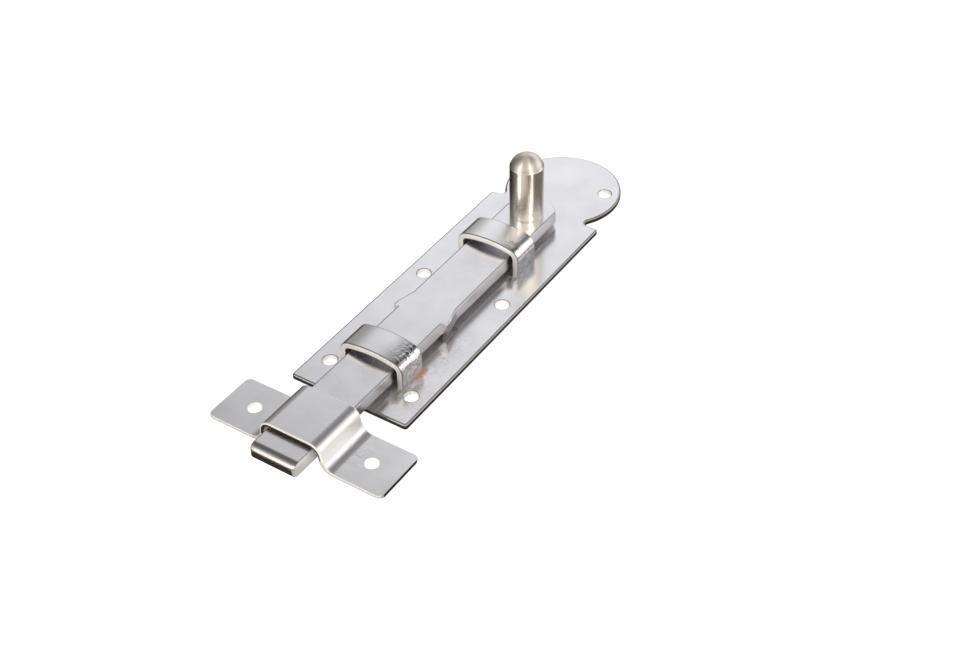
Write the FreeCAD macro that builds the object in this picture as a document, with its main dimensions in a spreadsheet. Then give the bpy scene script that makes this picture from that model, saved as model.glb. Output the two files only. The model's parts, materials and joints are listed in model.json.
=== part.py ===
# Flat slide bolt with its keeper, in millimetres.
# The origin is the centre of the plate's four-screw rectangle, on the plate's back face.
# +X runs towards the bolt's tip, +Z stands out of the door, and the bolt is shown shot.
import FreeCAD, Part
import Sketcher
import math
import os
from types import SimpleNamespace

SIZES = {
    # back plate: a flat blank with a round head behind its shoulders
    "plate_width": 50.0,
    "plate_thick": 2.0,
    "plate_front": 42.8,        # origin to the front edge
    "shoulder_back": 89.0,      # origin to the shoulders
    "head_radius": 23.7,
    "head_lap": 7.3,            # how far the head's circle would reach past the shoulders, into the body
    "head_shift": 1.0,          # how far the head sits towards -y
    "notch_radius": 1.9,        # hollow corner where the head leaves the shoulders
    "corner_radius": 1.2,
    "plate_edge": 0.5,         # bevel on the face's rim, which the shears round over
    # screw holes
    "screw_hole": 5.3,
    "screw_pitch_long": 59.0,
    "screw_pitch_wide": 35.7,
    "head_screw_offset": 6.0,   # head's centre to its screw holes, away from the body
    "head_screw_pitch": 32.6,
    # slide bar
    "bar_width": 20.0,
    "bar_thick": 5.0,
    "bar_lift": 2.0,            # underside above the plate's face: it rides on its stops and rivet
    "bar_tip": 83.6,            # origin to the tip
    "bar_edge": 0.6,
    "bar_end_radius": 11.5,     # rear end, struck from the knob's axis
    "tip_corner": 1.5,
    "nose_length": 5.1,
    "nose_face": 3.0,
    "slide_gap": 0.2,           # under the stops and the rivet head
    # stops, pinched out of both edges of the bar
    "stop_back": 1.8,           # origin to their front faces
    "stop_length": 2.5,
    "stop_ramp": 7.0,
    "stop_reach": 1.6,
    "stop_bite": 2.6,           # width of the lug that is pressed out below the bar
    # knob
    "knob_back": 75.5,
    "knob_radius": 6.75,
    "knob_shank": 22.5,
    "knob_taper": 0.2,
    "knob_neck_radius": 6.6,    # top of the taper, where the dome begins
    "knob_dome": 4.9,
    "knob_edge": 0.4,
    "rivet_radius": 4.0,
    "rivet_gap": 0.05,
    "rivet_head_radius": 5.6,
    "rivet_head_edge": 0.8,
    # guides: two like straps over the bar
    "guide_long": 12.5,
    "guide_thick": 2.5,
    "front_guide": 22.2,        # origin forward to the front guide's middle
    "rear_guide": 53.4,         # origin back to the rear guide's middle
    "guide_side_gap": 1.1,
    "guide_head_gap": 2.5,      # from the bar to the middle of the crown
    "guide_crown": 40.0,
    "guide_bend": 2.0,
    "guide_edge": 0.45,
    "tenon_long": 8.0,
    "tenon_gap": 0.05,
    "stake_flare": 0.6,         # how far the tenons' ends are spread in the back of their slots
    # keeper: a bent strip of hat form
    "keeper_long": 22.5,
    "keeper_thick": 1.5,
    "keeper_place": 62.75,
    "keeper_span": 74.0,
    "keeper_side_gap": 1.5,
    "keeper_head_gap": 0.8,
    "keeper_bend": 3.2,
    "keeper_foot_bend": 4.5,
    "keeper_lean": 9.0,         # degrees that each leg leans outwards
    "keeper_corner": 2.2,
    "keeper_edge": 0.4,
    "keeper_screw_pitch": 50.5,
}

ORIGIN = (-1, 1)
ACROSS = -1
UP = -2


class Length:
    """A size that carries both its number and the rule that binds it to the sheet."""

    def __init__(self, value, rule):
        self.value = value
        self.rule = rule

    def combine(self, other, sign, value):
        rule = other.rule if isinstance(other, Length) else str(other)
        return Length(value, "(%s %s %s)" % (self.rule, sign, rule))

    def __add__(self, other):
        return self.combine(other, "+", self.value + number(other))

    def __sub__(self, other):
        return self.combine(other, "-", self.value - number(other))

    def __mul__(self, other):
        return self.combine(other, "*", self.value * number(other))

    def __truediv__(self, other):
        return self.combine(other, "/", self.value / number(other))

    def __neg__(self):
        return Length(-self.value, "(0 - %s)" % self.rule)


def number(size):
    return size.value if isinstance(size, Length) else size


def make_sheet(doc):
    """The sheet of driving sizes, and each size by its name."""
    sheet = doc.addObject("Spreadsheet::Sheet", "sizes")
    for row, (word, value) in enumerate(SIZES.items(), start=1):
        sheet.set("A%d" % row, word)
        sheet.set("B%d" % row, str(value))
        sheet.setAlias("B%d" % row, word)
    doc.recompute()
    return SimpleNamespace(**{word: Length(float(sheet.get(word)), "sizes." + word) for word in SIZES})


class Drawing:
    """A sketch on an origin plane of its body, with dimensions bound to the sheet."""

    def __init__(self, body, name, plane, lift=None):
        self.sketch = body.newObject("Sketcher::SketchObject", name)
        self.sketch.AttachmentSupport = (origin_plane(body, plane), [""])
        self.sketch.MapMode = "FlatFace"
        if lift is not None:
            self.sketch.setExpression("AttachmentOffset.Base.z", lift.rule)

    def line(self, start, stop):
        ends = [FreeCAD.Vector(number(x), number(y), 0) for x, y in (start, stop)]
        return self.sketch.addGeometry(Part.LineSegment(*ends), False)

    def arc(self, centre, radius, first, last):
        middle = FreeCAD.Vector(number(centre[0]), number(centre[1]), 0)
        circle = Part.Circle(middle, FreeCAD.Vector(0, 0, 1), number(radius))
        return self.sketch.addGeometry(Part.ArcOfCircle(circle, math.radians(first), math.radians(last)), False)

    def rule(self, kind, *what):
        return self.sketch.addConstraint(Sketcher.Constraint(kind, *what))

    def meet(self, one, other):
        self.rule("Coincident", *one, *other)

    def flow(self, one, other):
        self.rule("Tangent", *one, *other)

    def measure(self, kind, start, stop, size):
        step = self.sketch.getPoint(*stop) - self.sketch.getPoint(*start)
        now = step.x if kind == "DistanceX" else step.y
        index = self.rule(kind, *start, *stop, now)
        self.sketch.setExpression("Constraints[%d]" % index, size.rule)

    def across(self, start, stop, size):
        self.measure("DistanceX", start, stop, size)

    def up(self, start, stop, size):
        self.measure("DistanceY", start, stop, size)

    def place(self, point, x, y):
        """Bind a point to its coordinates; a plain 0 puts it on the axis."""
        for axis, size, bind_to in ((UP, x, self.across), (ACROSS, y, self.up)):
            if number(size) == 0:
                self.rule("PointOnObject", *point, axis)
            elif size.value > 0:
                bind_to(ORIGIN, point, size)
            else:
                bind_to(point, ORIGIN, -size)

    def radius(self, curve, size):
        index = self.rule("Radius", curve, size.value)
        self.sketch.setExpression("Constraints[%d]" % index, size.rule)

    def polygon(self, corners):
        """A closed run of straight lines through corners that are all bound."""
        lines = [self.line(a, b) for a, b in zip(corners, corners[1:] + corners[:1])]
        for index, line in enumerate(lines):
            self.meet((lines[index - 1], 2), (line, 1))
            self.place((line, 1), *corners[index])
        return lines

    def circle(self, x, y, size):
        middle = FreeCAD.Vector(number(x), number(y), 0)
        curve = self.sketch.addGeometry(Part.Circle(middle, FreeCAD.Vector(0, 0, 1), size.value), False)
        self.radius(curve, size)
        self.place((curve, 3), x, y)


def origin_plane(body, role):
    return next(plane for plane in body.Origin.OriginFeatures if plane.Role == role)


def new_body(doc, label, x=None, z=None):
    body = doc.addObject("PartDesign::Body", label)
    body.Label = label
    for axis, size in (("x", x), ("z", z)):
        if size is not None:
            body.setExpression("Placement.Base." + axis, size.rule)
    return body


def bind(thing, **sizes):
    for word, size in sizes.items():
        thing.setExpression(word, size.rule)


def add_pad(body, name, drawing, length, both_ways=False, taper=0.0):
    pad = body.newObject("PartDesign::Pad", name)
    pad.Profile = drawing.sketch
    bind(pad, Length=length)
    pad.Midplane = both_ways
    pad.TaperAngle = taper
    body.Document.recompute()
    return pad


def cut_pocket(body, name, drawing, length, both_ways=False, reverse=False, taper=0.0):
    before = body.Shape.Volume
    pocket = body.newObject("PartDesign::Pocket", name)
    pocket.Profile = drawing.sketch
    bind(pocket, Length=length)
    pocket.Midplane = both_ways
    pocket.Reversed = reverse
    pocket.TaperAngle = taper
    body.Document.recompute()
    if body.Shape.Volume >= before:
        raise RuntimeError("%s takes nothing away" % name)
    return pocket


def mirror(body, name, features):
    """The same features on the other side of the bolt's long axis."""
    twin = body.newObject("PartDesign::Mirrored", name)
    twin.Originals = features
    twin.MirrorPlane = (origin_plane(body, "XZ_Plane"), [""])
    body.Tip = twin
    body.Document.recompute()
    return twin


def find_edges(body, name, wanted):
    """The body's last feature and its edges, in its own frame, that the test wanted picks out."""
    base = body.Tip
    edges = ["Edge%d" % n for n, edge in enumerate(base.Shape.Edges, start=1) if wanted(edge)]
    if not edges:
        raise RuntimeError("%s finds no edge" % name)
    return base, edges


def round_edges(body, name, radius, wanted):
    """Round each edge that the test wanted picks out."""
    base, edges = find_edges(body, name, wanted)
    rounding = body.newObject("PartDesign::Fillet", name)
    rounding.Base = (base, edges)
    bind(rounding, Radius=radius)
    body.Document.recompute()
    return rounding


def chamfer_edges(body, name, size, wanted):
    """Bevel each edge that the test wanted picks out."""
    base, edges = find_edges(body, name, wanted)
    bevel = body.newObject("PartDesign::Chamfer", name)
    bevel.Base = (base, edges)
    bind(bevel, Size=size)
    body.Document.recompute()
    return bevel


def near(one, other):
    return abs(one - other) < 1e-4


def runs_along(edge, axis):
    """Whether an edge is a straight line along x, y or z."""
    if not isinstance(edge.Curve, Part.Line):
        return False
    return near(abs(getattr(edge.tangentAt(edge.FirstParameter), axis)), 1.0)


def is_flat_at(edge, axis, height):
    """Whether both ends and the middle of an edge lie at one height on an axis."""
    middle = edge.valueAt((edge.FirstParameter + edge.LastParameter) / 2)
    points = [vertex.Point for vertex in edge.Vertexes] + [middle]
    return all(near(getattr(point, axis), height) for point in points)


def is_at_either_end(edge, length):
    """Whether an edge lies in one of the two end faces of a body that is centred along x."""
    return any(is_flat_at(edge, "x", end * length.value / 2) for end in (-1, 1))


def head_back(s):
    """Origin to the centre of the round head."""
    return s.shoulder_back + s.head_radius - s.head_lap


def draw_plate(body, s):
    """Straight body, square shoulders, hollow notches and a round head that is more than half a circle."""
    half = s.plate_width / 2
    middle = -s.head_shift
    drop = (head_back(s) - s.shoulder_back - s.notch_radius).value
    rise = math.sqrt((s.head_radius + s.notch_radius).value ** 2 - drop ** 2)
    turn = math.degrees(math.atan2(rise, drop))
    notch_x = -s.shoulder_back - s.notch_radius
    d = Drawing(body, "plate_outline", "XY_Plane")
    front = d.line((s.plate_front, -half), (s.plate_front, half))
    right = d.line((s.plate_front, half), (-s.shoulder_back, half))
    right_shoulder = d.line((-s.shoulder_back, half), (-s.shoulder_back, middle + rise))
    right_notch = d.arc((notch_x, middle + rise), s.notch_radius, 180 + turn, 360)
    head = d.arc((-head_back(s), middle), s.head_radius, turn, 360 - turn)
    left_notch = d.arc((notch_x, middle - rise), s.notch_radius, 0, 180 - turn)
    left_shoulder = d.line((-s.shoulder_back, middle - rise), (-s.shoulder_back, -half))
    left = d.line((-s.shoulder_back, -half), (s.plate_front, -half))
    d.meet((front, 2), (right, 1))
    d.meet((right, 2), (right_shoulder, 1))
    d.flow((right_shoulder, 2), (right_notch, 2))
    d.flow((right_notch, 1), (head, 1))
    d.flow((head, 2), (left_notch, 2))
    d.flow((left_notch, 1), (left_shoulder, 1))
    d.meet((left_shoulder, 2), (left, 1))
    d.meet((left, 2), (front, 1))
    for edge in (front, right_shoulder, left_shoulder):
        d.rule("Vertical", edge)
    d.rule("Horizontal", right)
    d.rule("Horizontal", left)
    d.place((right, 1), s.plate_front, half)
    d.place((left, 1), -s.shoulder_back, -half)
    d.rule("PointOnObject", right_shoulder, 1, left_shoulder)
    d.place((head, 3), -head_back(s), middle)
    d.radius(head, s.head_radius)
    d.radius(right_notch, s.notch_radius)
    d.rule("Equal", right_notch, left_notch)
    return d


def make_back_plate(doc, s):
    body = new_body(doc, "back_plate")
    add_pad(body, "plate_sheet", draw_plate(body, s), s.plate_thick)
    round_edges(body, "plate_corners", s.corner_radius,
                lambda edge: runs_along(edge, "z") and near(abs(edge.Vertexes[0].Y), s.plate_width.value / 2))
    chamfer_edges(body, "plate_rim", s.plate_edge,
                  lambda edge: is_flat_at(edge, "z", s.plate_thick.value))
    holes = Drawing(body, "screw_holes", "XY_Plane")
    radius = s.screw_hole / 2
    for side in (-1, 1):
        for end in (-1, 1):
            holes.circle(s.screw_pitch_long / 2 * end, s.screw_pitch_wide / 2 * side, radius)
        holes.circle(-head_back(s) - s.head_screw_offset, s.head_screw_pitch / 2 * side - s.head_shift, radius)
    cut_pocket(body, "screw_hole_cut", holes, s.plate_thick, reverse=True)
    for name, spread, depth, taper in (("slots", None, s.plate_thick, 0.0),
                                       ("slot_flares", s.stake_flare, s.stake_flare, -45.0)):
        slots = Drawing(body, name, "XY_Plane")
        for place in (s.front_guide, -s.rear_guide):
            for side in (-1, 1):
                slots.polygon(tenon_corners(s, place, side, s.tenon_gap, spread))
        cut_pocket(body, name + "_cut", slots, depth, reverse=True, taper=taper)
    return body


def tenon_corners(s, place, side, gap, spread):
    """Corners of a guide's tenon on the back face, with the slot's gap and the staked end's spread."""
    inner = s.bar_width / 2 + s.guide_side_gap
    outer = inner + s.guide_thick
    half = s.tenon_long / 2
    for margin in (gap, spread):
        if margin is not None:
            inner = inner - margin
            outer = outer + margin
            half = half + margin
    corners = [(-half, inner), (half, inner), (half, outer), (-half, outer)]
    return [(x if place is None else place + x, y * side) for x, y in corners]


def draw_strap(body, s):
    """Half of a guide's section: a leg, a bend and half of the crown."""
    inside = s.bar_width / 2 + s.guide_side_gap
    crown_z = s.plate_thick + s.bar_lift + s.bar_thick + s.guide_head_gap
    centre_z = (crown_z - s.guide_crown).value
    reach = (inside - s.guide_bend).value
    rise = math.sqrt((s.guide_crown - s.guide_bend).value ** 2 - reach ** 2)
    turn = math.degrees(math.atan2(rise, reach))
    bend_at = (reach, centre_z + rise)
    outer_bend = s.guide_bend + s.guide_thick
    outer_crown = s.guide_crown + s.guide_thick
    outside = inside + s.guide_thick
    d = Drawing(body, "strap_section", "YZ_Plane")
    inner_leg = d.line((inside, s.plate_thick), (inside, bend_at[1]))
    inner_turn = d.arc(bend_at, s.guide_bend, 0, turn)
    inner_top = d.arc((0, centre_z), s.guide_crown, turn, 90)
    middle = d.line((0, crown_z), (0, crown_z + s.guide_thick))
    outer_top = d.arc((0, centre_z), outer_crown, turn, 90)
    outer_turn = d.arc(bend_at, outer_bend, 0, turn)
    outer_leg = d.line((outside, s.plate_thick), (outside, bend_at[1]))
    foot = d.line((inside, s.plate_thick), (outside, s.plate_thick))
    d.meet((foot, 1), (inner_leg, 1))
    d.flow((inner_leg, 2), (inner_turn, 1))
    d.flow((inner_turn, 2), (inner_top, 1))
    d.meet((inner_top, 2), (middle, 1))
    d.meet((middle, 2), (outer_top, 2))
    d.flow((outer_top, 1), (outer_turn, 2))
    d.flow((outer_turn, 1), (outer_leg, 2))
    d.meet((outer_leg, 1), (foot, 2))
    d.rule("Vertical", inner_leg)
    d.rule("Vertical", outer_leg)
    d.rule("Vertical", middle)
    d.rule("Horizontal", foot)
    d.meet((inner_turn, 3), (outer_turn, 3))
    d.meet((inner_top, 3), (outer_top, 3))
    d.rule("PointOnObject", inner_top, 3, UP)
    d.place((middle, 1), 0, crown_z)
    d.place((inner_leg, 1), inside, s.plate_thick)
    d.radius(inner_top, s.guide_crown)
    d.radius(outer_top, outer_crown)
    d.radius(inner_turn, s.guide_bend)
    return d


def make_guide(doc, s, label, place):
    """A strap crowned over the bar, whose tenons are staked in the plate's slots."""
    body = new_body(doc, label, x=place)
    strap = add_pad(body, "strap", draw_strap(body, s), s.guide_long, both_ways=True)
    features = [strap]
    for name, spread, length, taper in (("tenon", None, s.plate_thick, 0.0),
                                        ("staked_end", s.stake_flare, s.stake_flare, -45.0)):
        d = Drawing(body, name + "_outline", "XY_Plane")
        d.polygon(tenon_corners(s, None, 1, None, spread))
        features.append(add_pad(body, name, d, length, taper=taper))
    mirror(body, "other_half", features)
    outer = [(s.guide_crown + s.guide_thick).value, (s.guide_bend + s.guide_thick).value]
    side = (s.bar_width / 2 + s.guide_side_gap + s.guide_thick).value

    def on_outer_rim(edge):
        if not is_at_either_end(edge, s.guide_long):
            return False
        if isinstance(edge.Curve, Part.Circle):
            return any(near(edge.Curve.Radius, radius) for radius in outer)
        return runs_along(edge, "z") and near(abs(edge.Vertexes[0].Y), side)

    chamfer_edges(body, "strap_rim", s.guide_edge, on_outer_rim)
    return body


def draw_bar(body, s):
    """The bar in plan: small corners at the tip, and a rear end struck from the knob's axis."""
    half = s.bar_width / 2
    turn = 180 - math.degrees(math.asin(half.value / s.bar_end_radius.value))
    rear_x = -s.knob_back.value + s.bar_end_radius.value * math.cos(math.radians(turn))
    corner_x = s.bar_tip - s.tip_corner
    corner_y = half - s.tip_corner
    d = Drawing(body, "bar_outline", "XY_Plane")
    right = d.line((corner_x, half), (rear_x, half))
    end = d.arc((-s.knob_back, 0), s.bar_end_radius, turn, 360 - turn)
    left = d.line((rear_x, -half), (corner_x, -half))
    left_corner = d.arc((corner_x, -corner_y), s.tip_corner, -90, 0)
    tip = d.line((s.bar_tip, -corner_y), (s.bar_tip, corner_y))
    right_corner = d.arc((corner_x, corner_y), s.tip_corner, 0, 90)
    d.meet((right, 2), (end, 1))
    d.meet((end, 2), (left, 1))
    d.flow((left, 2), (left_corner, 1))
    d.flow((left_corner, 2), (tip, 1))
    d.flow((tip, 2), (right_corner, 1))
    d.flow((right_corner, 2), (right, 1))
    d.rule("Horizontal", right)
    d.rule("Horizontal", left)
    d.rule("Vertical", tip)
    d.radius(end, s.bar_end_radius)
    d.place((end, 3), -s.knob_back, 0)
    d.up(ORIGIN, (right, 1), half)
    d.up((left, 1), ORIGIN, half)
    d.across(ORIGIN, (tip, 1), s.bar_tip)
    d.radius(left_corner, s.tip_corner)
    d.rule("Equal", left_corner, right_corner)
    return d


def draw_nose(body, s):
    """The corner that the rounded nose takes off the bar's end, seen from the side."""
    fall = s.bar_thick - s.nose_face
    radius = (s.nose_length.value ** 2 + fall.value ** 2) / (2 * fall.value)
    start = s.bar_tip - s.nose_length
    centre = (start, s.bar_thick.value - radius)
    first = math.degrees(math.atan2(s.nose_face.value - centre[1], s.nose_length.value))
    d = Drawing(body, "nose_outline", "XZ_Plane")
    curve = d.arc(centre, radius, first, 90)
    top = d.line((start, s.bar_thick), (s.bar_tip, s.bar_thick))
    face = d.line((s.bar_tip, s.bar_thick), (s.bar_tip, s.nose_face))
    d.meet((curve, 2), (top, 1))
    d.meet((top, 2), (face, 1))
    d.meet((face, 2), (curve, 1))
    d.rule("Horizontal", top)
    d.rule("Vertical", face)
    d.rule("Vertical", curve, 3, curve, 2)
    d.place((top, 1), start, s.bar_thick)
    d.across(ORIGIN, (face, 1), s.bar_tip)
    d.up(ORIGIN, (face, 2), s.nose_face)
    return d


def make_slide_bar(doc, s):
    """Flat bar with a rounded nose, pinched stops and the knob's hole; its underside is at its own z = 0."""
    body = new_body(doc, "slide_bar", z=s.plate_thick + s.bar_lift)
    half = s.bar_width / 2
    add_pad(body, "bar_stock", draw_bar(body, s), s.bar_thick)
    round_edges(body, "bar_edges", s.bar_edge,
                lambda edge: is_flat_at(edge, "z", 0) or is_flat_at(edge, "z", s.bar_thick.value))
    cut_pocket(body, "nose", draw_nose(body, s), s.bar_width, both_ways=True)
    hole = Drawing(body, "rivet_hole", "XY_Plane")
    hole.circle(-s.knob_back, 0, s.rivet_radius + s.rivet_gap)
    cut_pocket(body, "rivet_hole_cut", hole, s.bar_thick, reverse=True)

    front = -s.stop_back
    ramp_start = front - s.stop_length
    rear = ramp_start - s.stop_ramp
    root = half - s.stop_bite
    lug_depth = s.bar_lift - s.slide_gap
    outline = Drawing(body, "stop_outline", "XY_Plane", lift=-lug_depth)
    outline.polygon([(front, root), (front, half + s.stop_reach), (ramp_start, half + s.stop_reach),
                     (rear, half), (rear, root)])
    lug = add_pad(body, "stop_lug", outline, lug_depth + s.bar_thick)
    mirror(body, "other_stop", [lug])
    return body


def make_knob(doc, s):
    """Turned pin with a domed head, riveted through the bar; its own z = 0 is the bar's top face."""
    body = new_body(doc, "knob", x=-s.knob_back, z=s.plate_thick + s.bar_lift + s.bar_thick)
    edge = s.knob_edge
    head = s.rivet_head_radius
    head_edge = s.rivet_head_edge
    under = -s.bar_thick
    bottom = -s.bar_thick - s.bar_lift + s.slide_gap
    neck_z = s.knob_shank + s.knob_taper
    top = neck_z + s.knob_dome
    d = Drawing(body, "knob_section", "XZ_Plane")
    corners = [(0, bottom), (head - head_edge, bottom), (head, bottom + head_edge), (head, under),
               (s.rivet_radius, under), (s.rivet_radius, 0), (s.knob_radius - edge, 0),
               (s.knob_radius, edge), (s.knob_radius, s.knob_shank), (s.knob_neck_radius, neck_z)]
    lines = [d.line(a, b) for a, b in zip(corners, corners[1:])]
    dome_radius = (s.knob_neck_radius.value ** 2 + s.knob_dome.value ** 2) / (2 * s.knob_dome.value)
    centre_z = top.value - dome_radius
    start = math.degrees(math.atan2(neck_z.value - centre_z, s.knob_neck_radius.value))
    dome = d.arc((0, centre_z), dome_radius, start, 90)
    axis = d.line((0, top), (0, bottom))
    for one, other in zip(lines, lines[1:]):
        d.meet((one, 2), (other, 1))
    d.meet((lines[-1], 2), (dome, 1))
    d.meet((dome, 2), (axis, 1))
    d.meet((axis, 2), (lines[0], 1))
    for line, corner in zip(lines, corners):
        d.place((line, 1), *corner)
    d.place((dome, 1), s.knob_neck_radius, neck_z)
    d.place((axis, 1), 0, top)
    d.rule("PointOnObject", dome, 3, UP)
    turned = body.newObject("PartDesign::Revolution", "turned_pin")
    turned.Profile = d.sketch
    turned.ReferenceAxis = (d.sketch, ["V_Axis"])
    turned.Angle = 360
    doc.recompute()
    return body


def draw_hat(body, s):
    """Half of the keeper's section: top, bend, leaning leg, foot bend and flange."""
    sheet = s.keeper_thick
    inner_top = s.plate_thick + s.bar_lift + s.bar_thick + s.keeper_head_gap
    leg_y = s.bar_width / 2 + s.keeper_side_gap
    end_y = s.keeper_span / 2
    lean = math.radians(s.keeper_lean.value)
    across, rise = math.cos(lean), math.sin(lean)
    bend = s.keeper_bend
    foot = s.keeper_foot_bend
    bend_y = leg_y.value - bend.value * across
    bend_z = (inner_top - bend).value
    foot_z = (sheet + foot).value
    foot_y = bend_y + ((bend + sheet + foot).value - (foot_z - bend_z) * rise) / across

    def on_bend(radius):
        return bend_y + radius * across, bend_z + radius * rise

    def on_foot(radius):
        return foot_y - radius * across, foot_z - radius * rise

    turn = s.keeper_lean.value
    d = Drawing(body, "hat_section", "YZ_Plane")
    under_top = d.line((0, inner_top), (bend_y, inner_top))
    inner_bend = d.arc((bend_y, bend_z), bend, turn, 90)
    inner_leg = d.line(on_foot((foot + sheet).value), on_bend(bend.value))
    under_foot = d.arc((foot_y, foot_z), foot + sheet, 180 + turn, 270)
    back = d.line((foot_y, 0), (end_y, 0))
    end = d.line((end_y, 0), (end_y, sheet))
    face = d.line((end_y, sheet), (foot_y, sheet))
    over_foot = d.arc((foot_y, foot_z), foot, 180 + turn, 270)
    outer_leg = d.line(on_foot(foot.value), on_bend((bend + sheet).value))
    outer_bend = d.arc((bend_y, bend_z), bend + sheet, turn, 90)
    over_top = d.line((bend_y, inner_top + sheet), (0, inner_top + sheet))
    middle = d.line((0, inner_top + sheet), (0, inner_top))
    d.flow((under_top, 2), (inner_bend, 2))
    d.flow((inner_bend, 1), (inner_leg, 2))
    d.flow((inner_leg, 1), (under_foot, 1))
    d.flow((under_foot, 2), (back, 1))
    d.meet((back, 2), (end, 1))
    d.meet((end, 2), (face, 1))
    d.flow((face, 2), (over_foot, 2))
    d.flow((over_foot, 1), (outer_leg, 1))
    d.flow((outer_leg, 2), (outer_bend, 1))
    d.flow((outer_bend, 2), (over_top, 1))
    d.meet((over_top, 2), (middle, 1))
    d.meet((middle, 2), (under_top, 1))
    for flat in (under_top, over_top, back, face):
        d.rule("Horizontal", flat)
    for upright in (end, middle):
        d.rule("Vertical", upright)
    d.meet((inner_bend, 3), (outer_bend, 3))
    d.meet((over_foot, 3), (under_foot, 3))
    for curve, size in ((inner_bend, bend), (outer_bend, bend + sheet),
                        (over_foot, foot), (under_foot, foot + sheet)):
        d.radius(curve, size)
    d.place((under_top, 1), 0, inner_top)
    d.place((end, 1), end_y, 0)
    d.across(ORIGIN, (inner_bend, 1), leg_y)
    slope = d.rule("Angle", inner_leg, math.pi / 2 + lean)
    d.sketch.setExpression("Constraints[%d]" % slope, "90 deg + sizes.keeper_lean * 1 deg")
    return d


def make_keeper(doc, s):
    """Strip bent over the bar's end, with a screw hole in each flange."""
    body = new_body(doc, "keeper", x=s.keeper_place)
    hat = add_pad(body, "hat", draw_hat(body, s), s.keeper_long, both_ways=True)
    mirror(body, "other_flange", [hat])
    round_edges(body, "flange_corners", s.keeper_corner,
                lambda edge: runs_along(edge, "z") and near(abs(edge.Vertexes[0].Y), s.keeper_span.value / 2))
    holes = Drawing(body, "keeper_holes", "XY_Plane")
    for side in (-1, 1):
        holes.circle(0, s.keeper_screw_pitch / 2 * side, s.screw_hole / 2)
    cut_pocket(body, "keeper_hole_cut", holes, s.keeper_thick, reverse=True)
    chamfer_edges(body, "hat_rim", s.keeper_edge, lambda edge: is_at_either_end(edge, s.keeper_long))
    return body


def check(doc, bodies):
    for thing in doc.Objects:
        if {"Invalid", "Error"} & set(thing.State):
            raise RuntimeError("%s is %s" % (thing.Name, thing.State))
        if thing.TypeId == "Sketcher::SketchObject" and not thing.FullyConstrained:
            raise RuntimeError("%s is not fully constrained" % thing.Name)
    for body in bodies:
        if body.Shape.isNull() or not body.Shape.isValid() or len(body.Shape.Solids) != 1:
            raise RuntimeError("%s is not one valid solid" % body.Label)
        print("%-12s %9.1f mm3 %s" % (body.Label, body.Shape.Volume, body.Shape.BoundBox))


def main():
    doc = FreeCAD.newDocument("flat_slide_bolt")
    s = make_sheet(doc)
    bodies = [
        make_back_plate(doc, s),
        make_guide(doc, s, "front_guide", s.front_guide),
        make_guide(doc, s, "rear_guide", -s.rear_guide),
        make_slide_bar(doc, s),
        make_knob(doc, s),
        make_keeper(doc, s),
    ]
    doc.recompute()
    check(doc, bodies)
    os.makedirs("parts", exist_ok=True)
    for body in bodies:
        body.Shape.exportStep("parts/%s.step" % body.Label)


main()
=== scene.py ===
import json
from math import atan2, cos, degrees, hypot, pi, radians, sin, sqrt

import bmesh
import bpy
from mathutils import Matrix, Vector


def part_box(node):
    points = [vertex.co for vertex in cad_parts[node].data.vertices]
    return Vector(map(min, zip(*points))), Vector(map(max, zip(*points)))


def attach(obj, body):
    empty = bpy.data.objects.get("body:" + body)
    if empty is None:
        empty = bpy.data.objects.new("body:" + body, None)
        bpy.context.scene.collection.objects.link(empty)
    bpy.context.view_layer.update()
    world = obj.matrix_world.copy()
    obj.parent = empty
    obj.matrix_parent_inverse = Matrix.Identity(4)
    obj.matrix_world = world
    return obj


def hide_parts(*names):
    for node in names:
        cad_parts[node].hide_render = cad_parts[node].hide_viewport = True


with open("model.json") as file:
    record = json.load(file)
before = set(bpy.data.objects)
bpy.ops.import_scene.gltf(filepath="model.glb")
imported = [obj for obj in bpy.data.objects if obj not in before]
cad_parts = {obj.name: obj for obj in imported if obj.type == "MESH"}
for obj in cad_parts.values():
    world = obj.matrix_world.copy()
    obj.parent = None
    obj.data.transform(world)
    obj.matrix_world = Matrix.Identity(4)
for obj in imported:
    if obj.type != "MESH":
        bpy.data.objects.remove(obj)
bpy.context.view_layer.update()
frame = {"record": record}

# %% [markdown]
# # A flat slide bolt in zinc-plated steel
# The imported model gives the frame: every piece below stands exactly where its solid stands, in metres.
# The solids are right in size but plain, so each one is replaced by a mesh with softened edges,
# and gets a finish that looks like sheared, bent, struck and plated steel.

MM = 0.001


def new_object(name, data):
    """An object in the scene with the given mesh, curve, lamp or camera."""
    thing = bpy.data.objects.new(name, data)
    bpy.context.scene.collection.objects.link(thing)
    return thing


# %% [markdown]
# ## Camera
# The photograph looks down on the bolt from beyond its nose. Its view was worked out from the
# plate's straight edges and screw holes: a lens of about 56 mm, a little over half a metre away.

# %% Camera
CAMERA_AZIMUTH = 33.76
CAMERA_ELEVATION = 40.5
CAMERA_ROLL = -1.11
CAMERA_DISTANCE = 558.16 * MM
CAMERA_TARGET = Vector((-18.83, 17.54, 0)) * MM
LENS = 55.82
SENSOR_WIDTH = 36.0
NEAREST = 10 * MM


def direction(azimuth, elevation):
    """Unit vector for an azimuth from +X towards +Y and an elevation, both in degrees."""
    a, e = radians(azimuth), radians(elevation)
    return Vector((cos(e) * cos(a), cos(e) * sin(a), sin(e)))


def turned_to(back, roll=0.0):
    """Rotation of a camera or lamp that looks against the vector back."""
    right = Vector((0, 0, 1)).cross(back).normalized()
    up = back.cross(right)
    tilt = radians(roll)
    across = right * cos(tilt) + up * sin(tilt)
    upward = up * cos(tilt) - right * sin(tilt)
    return Matrix((across, upward, back)).transposed().to_4x4()


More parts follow.
